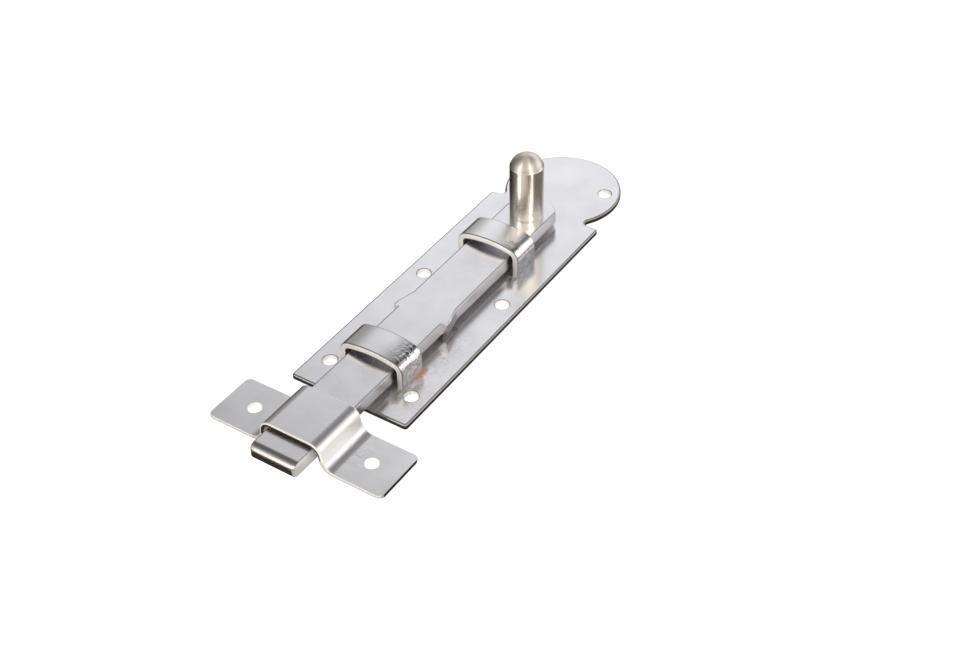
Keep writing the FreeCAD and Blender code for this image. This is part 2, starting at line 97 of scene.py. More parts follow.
def add_camera():
    """The scene's camera, in the photograph's place."""
    data = bpy.data.cameras.new("camera")
    data.lens = LENS
    data.sensor_width = SENSOR_WIDTH
    data.clip_start = NEAREST
    camera = new_object("camera", data)
    back = direction(CAMERA_AZIMUTH, CAMERA_ELEVATION)
    place = CAMERA_TARGET + back * CAMERA_DISTANCE
    camera.matrix_world = Matrix.Translation(place) @ turned_to(back, CAMERA_ROLL)
    bpy.context.scene.camera = camera
    return camera


camera = add_camera()
print("camera stands at", [round(x, 3) for x in camera.matrix_world.translation])

# %% [markdown]
# ## Studio
# Plated steel shows little colour of its own: it shows the room. The room here is a bright ring of
# wall between a dark floor and a dark ceiling. Flat faces mirror the upper rim of the ring, so they
# are light grey and get lighter towards the far end. Bends mirror the dark ceiling first and then
# the ring, which gives each of them a dark band beside a bright one. Dark patches and glows stand
# for what else is in a room, such as a person or a window. Two small lamps beside the camera draw
# the sharp highlights.

# %% Node helpers
def plug(tree, socket, value):
    """Link a socket to another one, or set it; a colour of three numbers is made opaque."""
    if isinstance(value, bpy.types.NodeSocket):
        tree.links.new(value, socket)
    elif socket.type == "RGBA" and len(value) == 3:
        socket.default_value = (*value, 1.0)
    else:
        socket.default_value = value


def add_node(tree, kind, inputs=None, **settings):
    """A node with its settings; its inputs go by name or number, and each is linked or set."""
    node = tree.nodes.new(kind)
    for name, value in settings.items():
        setattr(node, name, value)
    for name, value in (inputs or {}).items():
        plug(tree, node.inputs[name], value)
    return node


def add_ramp(tree, factor, stops):
    """Colour ramp from a list of places and colours."""
    ramp = add_node(tree, "ShaderNodeValToRGB", {"Fac": factor})
    elements = ramp.color_ramp.elements
    while len(elements) < len(stops):
        elements.new(0.5)
    for element, (place, colour) in zip(elements, stops):
        element.position = place
        element.color = (*colour, 1.0)
    return ramp.outputs["Color"]


def remap(tree, value, low, high, to_low=0.0, to_high=1.0):
    """A number carried from one range over to another, and held within it."""
    node = add_node(tree, "ShaderNodeMapRange", {
        "Value": value, "From Min": low, "From Max": high, "To Min": to_low, "To Max": to_high})
    return node.outputs["Result"]


def times(tree, first, second):
    """Product of two numbers."""
    return add_node(tree, "ShaderNodeMath", {0: first, 1: second}, operation="MULTIPLY").outputs[0]


def mix_colour(tree, factor, first, second, blend_type="MIX"):
    """Blend of two colours, which the Mix node takes in its sockets 6 and 7."""
    inputs = {0: factor, 6: first, 7: second}
    return add_node(tree, "ShaderNodeMix", inputs, data_type="RGBA", blend_type=blend_type).outputs[2]


def mix_value(tree, factor, first, second):
    """Blend of two numbers, which the Mix node takes in its sockets 2 and 3."""
    inputs = {0: factor, 2: first, 3: second}
    return add_node(tree, "ShaderNodeMix", inputs, data_type="FLOAT").outputs[0]


# %% World: a bright ring of wall under a dark ceiling
def grey(value, warmth):
    """A grey that leans to brown with warmth above 0 and to lilac below it."""
    return (value * (1 + warmth), value, value * (1 - warmth))


# elevation in degrees and the room's brightness there
ROOM = (
    (-90, grey(0.08, 0.10)),
    (-4, grey(0.14, 0.14)),
    (3, grey(0.62, 0.05)),
    (12, grey(1.05, 0.02)),
    (33, grey(1.02, -0.02)),
    (37, grey(0.90, -0.02)),
    (41, grey(0.86, -0.02)),
    (47, grey(0.90, -0.02)),
    (50, grey(0.84, -0.01)),
    (54, grey(0.42, 0.02)),
    (58, grey(0.20, 0.04)),
    (66, grey(0.20, 0.03)),
    (78, grey(0.62, 0.0)),
    (90, grey(0.72, 0.0)),
)
CAMERA_SIDE = direction(20, 0)
CAMERA_SIDE_FULL = 40
CAMERA_SIDE_END = 100
CAMERA_SIDE_TINT = (1.0, 0.93, 0.82)
PATCH_TINT = (1.04, 1.0, 0.94)
# azimuth, elevation, half width where the patch is full, half width where it ends, strength
DARK_PATCHES = (
    (154, 54, 16, 27, 0.05),
    (182, 60, 12, 20, 0.4),
    (270, 45, 13, 40, 0.25),
    (316, 50, 9, 18, 0.45),
    (24, 10, 18, 30, 0.55),
    (248, 10, 22, 34, 0.3),
    (284, 12, 16, 28, 0.4),
    (250, -38, 28, 42, 0.2),
)
GLOWS = (
    (134, 10, 14, 25, 0.8),
    (68, -38, 4, 9, 3.0),
    (-18, -38, 4, 9, 2.4),
    (-18, 39, 3, 8, 1.2),
    (-24, 14, 7, 15, 0.9),
    (68, 14, 6, 14, 0.9),
    (25, 42, 9, 20, 0.5),
)


def toward(tree, coordinates, vector, full, end):
    """1 for a direction within one angle of a vector, falling to 0 at another, in degrees."""
    dot = add_node(tree, "ShaderNodeVectorMath", {0: coordinates, 1: vector}, operation="DOT_PRODUCT")
    ramp = add_node(tree, "ShaderNodeMapRange", {
        "Value": dot.outputs["Value"], "From Min": cos(radians(end)), "From Max": cos(radians(full))},
        interpolation_type="SMOOTHSTEP")
    return ramp.outputs["Result"]


def build_world():
    """The room as the scene's world."""
    world = bpy.data.worlds.new("room")
    world.use_nodes = True
    tree = world.node_tree
    tree.nodes.clear()
    coordinates = add_node(tree, "ShaderNodeTexCoord").outputs["Generated"]
    parts = add_node(tree, "ShaderNodeSeparateXYZ", {"Vector": coordinates})
    height = remap(tree, parts.outputs["Z"], -1.0, 1.0)
    stops = [((sin(radians(elevation)) + 1) / 2, colour) for elevation, colour in ROOM]
    colour = add_ramp(tree, height, stops)
    side = toward(tree, coordinates, CAMERA_SIDE, CAMERA_SIDE_FULL, CAMERA_SIDE_END)
    colour = mix_colour(tree, side, colour, CAMERA_SIDE_TINT, "MULTIPLY")
    for patches, blend_type in ((DARK_PATCHES, "MULTIPLY"), (GLOWS, "ADD")):
        for azimuth, elevation, full, end, strength in patches:
            share = toward(tree, coordinates, direction(azimuth, elevation), full, end)
            patch = [strength * x for x in PATCH_TINT]
            colour = mix_colour(tree, share, colour, patch, blend_type)
    background = add_node(tree, "ShaderNodeBackground", {"Color": colour, "Strength": 1.0})
    output = add_node(tree, "ShaderNodeOutputWorld")
    tree.links.new(background.outputs["Background"], output.inputs["Surface"])
    bpy.context.scene.world = world


build_world()
bpy.context.scene.view_settings.view_transform = "Standard"

# %% Lamps
LAMP_DISTANCE = 0.9
LAMP_SIZE = 0.10
LAMP_POWER = 1.1


def add_lamp(name, azimuth, elevation):
    """A round lamp that looks at the middle of the frame."""
    data = bpy.data.lights.new(name, "AREA")
    data.shape = "DISK"
    data.size = LAMP_SIZE
    data.energy = LAMP_POWER
    back = direction(azimuth, elevation)
    new_object(name, data).matrix_world = Matrix.Translation(back * LAMP_DISTANCE) @ turned_to(back)


add_lamp("left_lamp", -21, 28)
add_lamp("right_lamp", 66, 42)

# %% Floor: a white sheet that gives no reflection, so the steel's edges stay dark
FLOOR_HALF = 3.0
FLOOR_DROP = 0.2 * MM
FLOOR_LOOK = {
    "Base Color": (0.8, 0.8, 0.8, 1), "Roughness": 1.0, "Specular IOR Level": 0.0,
    "Emission Color": (1, 1, 1, 1), "Emission Strength": 0.75,
}


def add_floor():
    """A wide white square just below the part."""
    half = FLOOR_HALF
    mesh = bpy.data.meshes.new("floor")
    corners = [(-half, -half, 0), (half, -half, 0), (half, half, 0), (-half, half, 0)]
    mesh.from_pydata(corners, [], [(0, 1, 2, 3)])
    material = bpy.data.materials.new("white_floor")
    material.use_nodes = True
    shader = material.node_tree.nodes["Principled BSDF"]
    for name, value in FLOOR_LOOK.items():
        shader.inputs[name].default_value = value
    mesh.materials.append(material)
    floor = new_object("floor", mesh)
    floor.location.z = -FLOOR_DROP
    floor.visible_glossy = False


add_floor()

# %% [markdown]
# ## Sizes
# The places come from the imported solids. Only what their boxes don't tell is written here,
# as the real size in millimetres.

# %% Sizes from the frame
plate_high = Vector(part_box("back_plate")[1])
bar_low, bar_high = (Vector(corner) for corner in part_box("slide_bar"))
knob_low, knob_high = (Vector(corner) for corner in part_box("knob"))
keeper_low, keeper_high = (Vector(corner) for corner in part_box("keeper"))
guide_boxes = {name: [Vector(corner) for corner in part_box(name)]
               for name in ("front_guide", "rear_guide")}
mounts = {mount["name"]: mount for mount in frame["record"]["mounts"]}

PLATE_THICK = plate_high.z
BAR_TOP = bar_high.z
BAR_THICK = 5.0 * MM
BAR_UNDER = BAR_TOP - BAR_THICK
BAR_HALF = 10.0 * MM
SCREW_HOLE = mounts["plate_screws"]["dims"]["hole_r_mm"] * MM
KNOB_AXIS = (knob_low.x + knob_high.x) / 2
heights = [round(z / MM, 2) for z in (PLATE_THICK, BAR_UNDER, BAR_TOP)]
print("plate {} mm thick; bar from {} to {}".format(*heights))

# %% Points on an arc
def arc(centre, radius, start, stop, steps):
    """Points on an arc in a plane; the angles are in degrees and both ends are included."""
    turns = (radians(start + (stop - start) * i / steps) for i in range(steps + 1))
    return [(centre[0] + radius * cos(turn), centre[1] + radius * sin(turn)) for turn in turns]


# %% [markdown]
# ## From points to a finished piece
# A real edge is never perfectly sharp, and it is the thin bright line along an edge that tells the
# eye that it looks at metal. So the shapes are drawn with small rounds at their edges, and normals
# weighted by area keep the broad faces flat right up to them. Faces that are cut, rubbed, pale or
# matt, or painted dark as painted shade and painted dark reflections, are marked with a number,
# which the finish reads.

# %% Meshes
MERGE_GAP = 0.0001 * MM


def band(low, high, count):
    """Faces between two rings of points, which start at the numbers low and high."""
    return [(low + i, low + (i + 1) % count, high + (i + 1) % count, high + i) for i in range(count)]


def mesh_object(name, points, faces):
    """A mesh object made of points and faces."""
    mesh = bpy.data.meshes.new(name)
    mesh.from_pydata([tuple(p) for p in points], [], faces)
    tidy_mesh(mesh)
    return new_object(name, mesh)


def tidy_mesh(mesh):
    """Merge points that coincide and turn all faces outwards."""
    bm = bmesh.new()
    bm.from_mesh(mesh)
    bmesh.ops.remove_doubles(bm, verts=bm.verts, dist=MERGE_GAP)
    bmesh.ops.recalc_face_normals(bm, faces=bm.faces)
    bm.to_mesh(mesh)
    bm.free()


def settle(piece):
    """Turn a piece and its modifiers into one plain mesh."""
    depsgraph = bpy.context.evaluated_depsgraph_get()
    mesh = bpy.data.meshes.new_from_object(piece.evaluated_get(depsgraph))
    if piece.type == "MESH":
        piece.modifiers.clear()
        piece.data = mesh
        return piece
    name = piece.name
    bpy.data.objects.remove(piece)
    return new_object(name, mesh)


def join(name, pieces):
    """One mesh object made of several."""
    bm = bmesh.new()
    for piece in pieces:
        bm.from_mesh(piece.data)
        bpy.data.objects.remove(piece)
    mesh = bpy.data.meshes.new(name)
    bm.to_mesh(mesh)
    bm.free()
    return new_object(name, mesh)


# %% Shading and marks
SHARP_ANGLE = 40
AREA_WEIGHT = 80
HOLE_MARGIN = 0.3 * MM
# how far a normal points along an axis, from 0 to 1
STEEP = 0.95
LEANING = 0.2
HOLE_LIP = 0.6


def smooth(piece, angle=SHARP_ANGLE):
    """Smooth the shading, except over edges that turn by more than an angle in degrees."""
    for face in piece.data.polygons:
        face.use_smooth = True
    piece.data.set_sharp_from_angle(angle=radians(angle))


def soften(piece, angle=SHARP_ANGLE):
    """Smooth the shading and keep broad faces flat."""
    smooth(piece, angle)
    weighted = piece.modifiers.new("flat_faces", "WEIGHTED_NORMAL")
    weighted.keep_sharp = True
    weighted.weight = AREA_WEIGHT
    return settle(piece)


def mark(piece, word, test):
    """Write a number from 0 to 1 on each face under a word; the test gives it."""
    marks = piece.data.attributes.new(word, "FLOAT", "FACE")
    marks.data.foreach_set("value", [float(test(face)) for face in piece.data.polygons])


def in_a_hole(face, centres):
    """Whether a face belongs to the wall of a screw hole."""
    if abs(face.normal.z) > HOLE_LIP:
        return False
    reach = SCREW_HOLE + HOLE_MARGIN
    return any(hypot(face.center.x - x, face.center.y - y) < reach for x, y in centres)


def install(piece, node, body, material):
    """Put a finished piece in its solid's place."""
    piece.data.materials.clear()
    piece.data.materials.append(material)
    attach(piece, body)
    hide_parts(node)
    print(piece.name, len(piece.data.polygons), "faces")


# %% [markdown]
# ## Finishes
# All pieces are of mild steel with a thin coat of zinc. The coat takes over what is under it: lines
# from rolling on the sheet and the bar, rings from the lathe on the knob, dents on the bent straps.
# So each finish is one metal with its own fine relief, which changes where faces are marked:
# - cut: torn or rubbed metal, dark and dull, where shears have gone through or pieces slide, and
#   painted shade and painted dark reflections on edges, on the bar's nose and tip, and on its lug;
# - wall: pale metal that mirrors little, as in a punched hole;
# - matt: zinc that has lost its shine, as on the bends, where it was stretched.
#
# Stains lie over it: rust and its brown film at the front guide's foot, where water stays, and old
# grease on the plate in front of the guides.

# %% Patterns on the piece's own coordinates
PATCHY = (0.35, 0.65)


def rough_noise(tree, scale, detail, roughness=0.55):
    """Noise on the piece's own coordinates; scale is in waves per metre along x, y and z."""
    coordinates = add_node(tree, "ShaderNodeTexCoord").outputs["Object"]
    mapping = add_node(tree, "ShaderNodeMapping", {"Vector": coordinates, "Scale": scale})
    noise = add_node(tree, "ShaderNodeTexNoise", {
        "Vector": mapping.outputs["Vector"], "Scale": 1.0, "Detail": detail, "Roughness": roughness})
    return noise.outputs["Fac"]


def spot(tree, place, reach, grain, shape=(1, 1, 1)):
    """1 at a place on the piece, falling to 0 at a given reach, and broken up by noise."""
    coordinates = add_node(tree, "ShaderNodeTexCoord").outputs["Object"]
    centre = [x * MM for x in place]
    away = add_node(tree, "ShaderNodeVectorMath", {0: coordinates, 1: centre}, operation="SUBTRACT")
    scaled = add_node(tree, "ShaderNodeMapping", {"Vector": away.outputs["Vector"], "Scale": shape})
    distance = add_node(tree, "ShaderNodeVectorMath", {0: scaled.outputs["Vector"]}, operation="LENGTH")
    near = remap(tree, distance.outputs["Value"], 0.0, reach * MM, 1.0, 0.0)
    patchy = remap(tree, rough_noise(tree, (grain,) * 3, 4.0, 0.7), *PATCHY)
    return times(tree, near, patchy)


def bump(tree, height, depth, under=None):
    """Relief of a given depth in metres, on top of another relief if there is one."""
    inputs = {"Height": height, "Distance": depth, "Strength": 1.0}
    if under is not None:
        inputs["Normal"] = under
    return add_node(tree, "ShaderNodeBump", inputs).outputs["Normal"]


# %% Steel under zinc
ZINC_LIGHT = (0.88, 0.865, 0.89)
ZINC_DULL = (0.83, 0.81, 0.83)
# dark cut steel, which is also painted shade and painted dark reflections on edges and the lug
CUT_STEEL_AND_SHADE = (0.12, 0.11, 0.10)
CUT_ROUGHNESS = 0.5
WALL_STEEL = (0.92, 0.90, 0.88)
WALL_ROUGHNESS = 0.7
WALL_METAL = 0.1
MATT_ROUGHNESS = 0.42
STAIN_ROUGHNESS = 0.5
STAIN_METAL = 0.3
# waves per metre
STAIN_GRAIN = 700
DENT_GRAIN = 220
WAVE_GRAIN = 90
CLOUD_GRAIN = 70
CLOUDY = (0.3, 0.7)


def zinc(name, grain, grain_depth, light=ZINC_LIGHT, dull=ZINC_DULL, roughness=(0.18, 0.25),
         wave_depth=0.008 * MM, stains=(), dents=()):
    """Zinc-plated steel: grain in waves per metre, stains and dents as places with their reach."""
    material = bpy.data.materials.new(name)
    material.use_nodes = True
    tree = material.node_tree
    cut, wall, matt = (add_node(tree, "ShaderNodeAttribute", attribute_name=word).outputs["Fac"]
                       for word in ("cut", "wall", "matt"))
    clouds = remap(tree, rough_noise(tree, (CLOUD_GRAIN,) * 3, 4.0), *CLOUDY)
    colour = mix_colour(tree, clouds, light, dull)
    # faces marked cut take the dark colour: dull cut steel, and painted shade and dark reflections
    colour = mix_colour(tree, cut, colour, CUT_STEEL_AND_SHADE)
    colour = mix_colour(tree, wall, colour, WALL_STEEL)
    metal = mix_value(tree, wall, 1.0, WALL_METAL)
    dullness = mix_value(tree, clouds, *roughness)
    dullness = mix_value(tree, matt, dullness, MATT_ROUGHNESS)
    for place, reach, stain, shape, share in stains:
        mask = times(tree, spot(tree, place, reach, STAIN_GRAIN, shape), share)
        colour = mix_colour(tree, mask, colour, stain)
        metal = mix_value(tree, mask, metal, STAIN_METAL)
        dullness = mix_value(tree, mask, dullness, STAIN_ROUGHNESS)
    dullness = mix_value(tree, cut, dullness, CUT_ROUGHNESS)
    dullness = mix_value(tree, wall, dullness, WALL_ROUGHNESS)
    relief = bump(tree, rough_noise(tree, (WAVE_GRAIN,) * 3, 1.0), wave_depth)
    for place, reach, scale, depth in dents:
        blows = times(tree, spot(tree, place, reach, DENT_GRAIN), rough_noise(tree, scale, 2.0))
        relief = bump(tree, blows, depth * MM, relief)
    relief = bump(tree, rough_noise(tree, grain, 2.0), grain_depth, relief)
    shader = tree.nodes["Principled BSDF"]
    looks = {"Base Color": colour, "Metallic": metal, "Roughness": dullness, "Normal": relief}
    for word, value in looks.items():
        plug(tree, shader.inputs[word], value)
    return material


# %% One finish for each way of making
RUST = (0.80, 0.24, 0.05)
TARNISH = (0.46, 0.36, 0.27)
GREASE = (0.24, 0.22, 0.20)
# each stain: place in mm, reach in mm, colour, how its reach is squeezed along x, y and z, share
PLATE_STAINS = (
    ((17.9, 14.2, 2), 3.0, RUST, (0.8, 1.4, 1), 2.5),
    ((22, 13.8, 2), 7, TARNISH, (0.8, 2.8, 1), 1.3),
    ((26, 15.5, 2), 16, TARNISH, (0.7, 1.2, 1), 0.15),
    ((3, 14, 2), 12, TARNISH, (0.6, 1.3, 1), 0.25),
    ((31, 13.6, 2), 5, GREASE, (0.8, 1.2, 1), 1.5),
    ((-45, 13.6, 2), 4, GREASE, (0.8, 1.2, 1), 1.3),
)
GUIDE_STAINS = (((19, 13.6, 3), 6, TARNISH, (0.7, 1, 1), 0.8),)
# each dent: place in mm, reach in mm, waves per metre, depth in mm
GUIDE_DENTS = (
    ((22, 13.5, 8), 10, (650, 300, 220), 0.7),
    ((-53, 13, 9), 10, (650, 300, 220), 0.25),
)
KEEPER_DENTS = (((60, 15, 5), 13, (60, 900, 900), 0.16),)

sheet_zinc = zinc("sheet_zinc", (150, 2600, 2600), 0.0012 * MM, stains=PLATE_STAINS)
bar_zinc = zinc("bar_zinc", (120, 3000, 3000), 0.0008 * MM, roughness=(0.22, 0.29))
keeper_zinc = zinc("keeper_zinc", (2600, 150, 150), 0.0006 * MM, roughness=(0.22, 0.28),
                   dents=KEEPER_DENTS)
guide_zinc = zinc("guide_zinc", (1600, 260, 260), 0.003 * MM, roughness=(0.22, 0.3),
                  wave_depth=0.03 * MM, stains=GUIDE_STAINS, dents=GUIDE_DENTS)
knob_zinc = zinc("knob_zinc", (120, 120, 4200), 0.002 * MM, light=(0.93, 0.88, 0.81),
                 dull=(0.87, 0.82, 0.74), roughness=(0.26, 0.3), wave_depth=0.003 * MM)

# %% Rings of the lathe on the knob
RING_STRENGTH = 0.75
RING_TURN = 0.25
DOME_STARTS = BAR_TOP + 22 * MM
DOME_FULL = BAR_TOP + 24 * MM
DOME_ROUGHNESS = 0.45


def turn_finish(material):
    """Fine rings around the upright axis, which draw highlights out along the knob."""
    tree = material.node_tree
    shader = tree.nodes["Principled BSDF"]
    coordinates = add_node(tree, "ShaderNodeTexCoord").outputs["Object"]
    height = add_node(tree, "ShaderNodeSeparateXYZ", {"Vector": coordinates}).outputs["Z"]
    dome = remap(tree, height, DOME_STARTS, DOME_FULL)
    plain = shader.inputs["Roughness"].links[0].from_socket
    tangent = add_node(tree, "ShaderNodeTangent", direction_type="RADIAL", axis="Z")
    plug(tree, shader.inputs["Roughness"], mix_value(tree, dome, plain, DOME_ROUGHNESS))
    plug(tree, shader.inputs["Tangent"], tangent.outputs["Tangent"])
    plug(tree, shader.inputs["Anisotropic"], RING_STRENGTH)
    plug(tree, shader.inputs["Anisotropic Rotation"], RING_TURN)


turn_finish(knob_zinc)

# %% [markdown]
# ## Back plate
# The plate is sheared and punched from sheet. A punch pulls the face's rim down a little before it
# cuts, so the rim is rounded on the face and sharp on the back. Each outline, of the plate and of
# its holes, is drawn once and copied down the thickness as a stack of rings that follow that rim.

# %% Plate outline
HEAD_BACK = 105.4 * MM
HEAD_RADIUS = 23.7 * MM
HEAD_MIDDLE = -1.0 * MM
SHOULDER_BACK = 89.0 * MM
NOTCH_RADIUS = 1.9 * MM
CORNER_RADIUS = 1.2 * MM
ARC_STEPS = 72
CORNER_STEPS = 6
NOTCH_STEPS = 8
HOLE_STEPS = 40


def plate_outline():
    """Corner points of the plate, anticlockwise, from the front right corner."""
    half = plate_high.y
    drop = HEAD_BACK - SHOULDER_BACK - NOTCH_RADIUS
    rise = sqrt((HEAD_RADIUS + NOTCH_RADIUS) ** 2 - drop ** 2)
    turn = degrees(atan2(rise, drop))
    notch_x = -SHOULDER_BACK - NOTCH_RADIUS
    front_x = plate_high.x - CORNER_RADIUS
    rear_x = CORNER_RADIUS - SHOULDER_BACK
    side = half - CORNER_RADIUS
    right = arc((front_x, side), CORNER_RADIUS, 0, 90, CORNER_STEPS)
    right += arc((rear_x, side), CORNER_RADIUS, 90, 180, CORNER_STEPS)
    right_notch = arc((notch_x, HEAD_MIDDLE + rise), NOTCH_RADIUS, 360, 180 + turn, NOTCH_STEPS)
    head = arc((-HEAD_BACK, HEAD_MIDDLE), HEAD_RADIUS, turn, 360 - turn, ARC_STEPS)[1:-1]
    left_notch = arc((notch_x, HEAD_MIDDLE - rise), NOTCH_RADIUS, 180 - turn, 0, NOTCH_STEPS)
    left = [(x, -y) for x, y in reversed(right)]
    return right + right_notch + head + left_notch + left


def circle(x, y, radius):
    """Points on a full circle, each one once."""
    return arc((x, y), radius, 0, 360 * (1 - 1 / HOLE_STEPS), HOLE_STEPS - 1)


def rectangle(x, y, length, width):
    """Corners of a rectangle about a middle."""
    return [(x + sx * length / 2, y + sy * width / 2) for sx, sy in ((-1, -1), (1, -1), (1, 1), (-1, 1))]


# %% Rings down the thickness
MITRE_LIMIT = 0.2
ROLL_TURNS = (0, 22, 45, 68, 90)
BURR_LEAN = 0.6


def shifted(loop, inset):
    """A loop moved towards its inside; each corner keeps its angle."""
    area = sum(a[0] * b[1] - b[0] * a[1] for a, b in zip(loop, loop[1:] + loop[:1])) / 2
    side = 1 if area > 0 else -1
    moved = []
    for before, here, after in zip(loop[-1:] + loop[:-1], loop, loop[1:] + loop[:1]):
        one = Vector((here[0] - before[0], here[1] - before[1])).normalized()
        two = Vector((after[0] - here[0], after[1] - here[1])).normalized()
        normal = Vector((-(one.y + two.y), one.x + two.x))
        normal *= side / max(normal.length_squared / 2, MITRE_LIMIT)
        moved.append((here[0] + normal.x * inset, here[1] + normal.y * inset))
    return moved


def rim(thick, roll, burr):
    """How far the metal stands back from an outline, from its top to its bottom: (setback, height)."""
    turns = [radians(a) for a in ROLL_TURNS]
    rolled = [(roll - roll * sin(turn), thick - roll + roll * cos(turn)) for turn in turns]
    return rolled + [(0.0, burr), (burr * BURR_LEAN, 0.0)]


def plate_mesh(name, outline, holes, rims):
    """Flat sheet with holes; rims gives the setbacks for the outline and for each hole."""
    bm = bmesh.new()
    caps = {0: [], -1: []}
    for loop, profile, inward in zip([outline] + holes, rims, [1] + [-1] * len(holes)):
        rings = []
        for setback, height in profile:
            rings.append([bm.verts.new((x, y, height)) for x, y in shifted(loop, setback * inward)])
        for upper, lower in zip(rings, rings[1:]):
            count = len(upper)
            for i in range(count):
                j = (i + 1) % count
                bm.faces.new((upper[i], upper[j], lower[j], lower[i]))
        for end, edges in caps.items():
            ring = rings[end]
            edges += [bm.edges.get((a, b)) for a, b in zip(ring, ring[1:] + ring[:1])]
    for edges in caps.values():
        bmesh.ops.triangle_fill(bm, use_beauty=True, use_dissolve=False, edges=edges)
    bmesh.ops.recalc_face_normals(bm, faces=bm.faces)
    mesh = bpy.data.meshes.new(name)
    bm.to_mesh(mesh)
    bm.free()
    return new_object(name, mesh)


# %% Holes and slots in the plate
PLATE_ROLL, PLATE_BURR = 0.75 * MM, 0.12 * MM
HOLE_ROLL, HOLE_BURR = 0.4 * MM, 0.1 * MM
PLATE_FLAT = 0.985
# share of the dark colour on the rolled rim: a painted dark reflection
ROLL_SHADE = 0.6
TENON_LONG = 8.0 * MM
STAKE = 0.6 * MM
SLOT_GAP = 0.05 * MM
GUIDE_THICK = 2.5 * MM
GUIDE_INSIDE = 11.1 * MM
TENON_MIDDLE = GUIDE_INSIDE + GUIDE_THICK / 2
guide_middles = {name: (low.x + high.x) / 2 for name, (low, high) in guide_boxes.items()}


def screw_holes():
    """Centres of the plate's screw holes, from the record's mounts."""
    plate, head = mounts["plate_screws"], mounts["head_screws"]
    long, wide = (plate["dims"][key] * MM / 2 for key in ("spacing_x_mm", "spacing_y_mm"))
    head_wide = head["dims"]["spacing_y_mm"] * MM / 2
    four = [(end * long, side * wide) for end in (-1, 1) for side in (-1, 1)]
    return four + [(head["pos_m"][0], head["pos_m"][1] + side * head_wide) for side in (-1, 1)]


def plate_cut_and_shade(face):
    """How dark a face of the plate is painted: none on the flats and in the holes; full on the cut edge,
    dull cut steel with a painted dark reflection; part on the rolled rim, a painted dark reflection.
    """
    upright = abs(face.normal.z)
    if upright > PLATE_FLAT or in_a_hole(face, screw_holes()):
        return 0.0
    return 1.0 if upright < LEANING else ROLL_SHADE


def make_plate():
    """The back plate's sheet with its holes and slots."""
    holes = [circle(x, y, SCREW_HOLE) for x, y in screw_holes()]
    hole_rim = rim(PLATE_THICK, HOLE_ROLL, HOLE_BURR)
    slots = [rectangle(x, side * TENON_MIDDLE, TENON_LONG + 2 * SLOT_GAP, GUIDE_THICK + 2 * SLOT_GAP)
             for x in guide_middles.values() for side in (-1, 1)]
    slot_rim = [(0.0, PLATE_THICK), (0.0, STAKE), (STAKE, 0.0)]
    rims = [rim(PLATE_THICK, PLATE_ROLL, PLATE_BURR)] + [hole_rim] * len(holes) + [slot_rim] * len(slots)
    plate = soften(plate_mesh("back_plate_sheet", plate_outline(), holes + slots, rims))
    mark(plate, "wall", lambda face: in_a_hole(face, screw_holes()))
    # the cut edge and rolled rim get the dark colour: cut steel and painted dark reflections
    mark(plate, "cut", plate_cut_and_shade)
    return plate


install(make_plate(), "back_plate", "plate", sheet_zinc)

# %% [markdown]
# ## Bent strips
# Both guides and the keeper are strips of steel bent to a path, so one Geometry Nodes tree makes all
# three: it carries a section with rounded corners along a path. The path lies in the tree's XY
# plane, where the section keeps its sides parallel to the strip's own faces, and the tree then
# stands it up.

# %% Strip tree
CORNER_CUTS = 3


def build_strip_tree():
    """The tree: Path, Width, Thickness, Place along x, radius of the Rim and Finish."""
    tree = bpy.data.node_groups.new("bent_strip", "GeometryNodeTree")
    sockets = tree.interface.new_socket
    sockets("Path", in_out="INPUT", socket_type="NodeSocketGeometry")
    for name in ("Width", "Thickness", "Place", "Rim"):
        sockets(name, in_out="INPUT", socket_type="NodeSocketFloat")
    sockets("Finish", in_out="INPUT", socket_type="NodeSocketMaterial")
    sockets("Strip", in_out="OUTPUT", socket_type="NodeSocketGeometry")
    given = add_node(tree, "NodeGroupInput").outputs
    section = add_node(tree, "GeometryNodeCurvePrimitiveQuadrilateral", {
        "Width": given["Thickness"], "Height": given["Width"]})
    rounded = add_node(tree, "GeometryNodeFilletCurve", {
        "Curve": section.outputs["Curve"], "Count": CORNER_CUTS, "Radius": given["Rim"]}, mode="POLY")
    strip = add_node(tree, "GeometryNodeCurveToMesh", {
        "Curve": given["Path"], "Profile Curve": rounded.outputs["Curve"], "Fill Caps": True})
    place = add_node(tree, "ShaderNodeCombineXYZ", {"X": given["Place"]})
    upright = add_node(tree, "GeometryNodeTransform", {
        "Geometry": strip.outputs["Mesh"], "Translation": place.outputs["Vector"],
        "Rotation": (pi / 2, 0, pi / 2)})
    real = add_node(tree, "GeometryNodeRealizeInstances", {"Geometry": upright.outputs["Geometry"]})
    painted = add_node(tree, "GeometryNodeSetMaterial", {
        "Geometry": real.outputs["Geometry"], "Material": given["Finish"]})
    output = add_node(tree, "NodeGroupOutput")
    tree.links.new(painted.outputs["Geometry"], output.inputs["Strip"])
    return tree


strip_tree = build_strip_tree()


def bent_strip(name, path, width, thick, place, finish, rim_radius):
    """A strip whose middle line follows a path of (y, z) points, centred on x = place."""
    curve = bpy.data.curves.new(name, "CURVE")
    curve.dimensions = "3D"
    curve.twist_mode = "Z_UP"
    spline = curve.splines.new("POLY")
    spline.points.add(len(path) - 1)
    for point, (y, z) in zip(spline.points, path):
        point.co = (y, z, 0, 1)
    strip = new_object(name, curve)
    modifier = strip.modifiers.new("bent_strip", "NODES")
    modifier.node_group = strip_tree
    inputs = [item for item in strip_tree.interface.items_tree if item.in_out == "INPUT"]
    sockets = {item.name: item.identifier for item in inputs}
    values = {"Width": width, "Thickness": thick, "Place": place, "Rim": rim_radius, "Finish": finish}
    for word, value in values.items():
        modifier[sockets[word]] = value
    strip = settle(strip)
    tidy_mesh(strip.data)
    return strip


def both_sides(half_path):
    """A path and its mirror image, joined at the middle."""
    return half_path + [(-y, z) for y, z in reversed(half_path) if y > 1e-9]


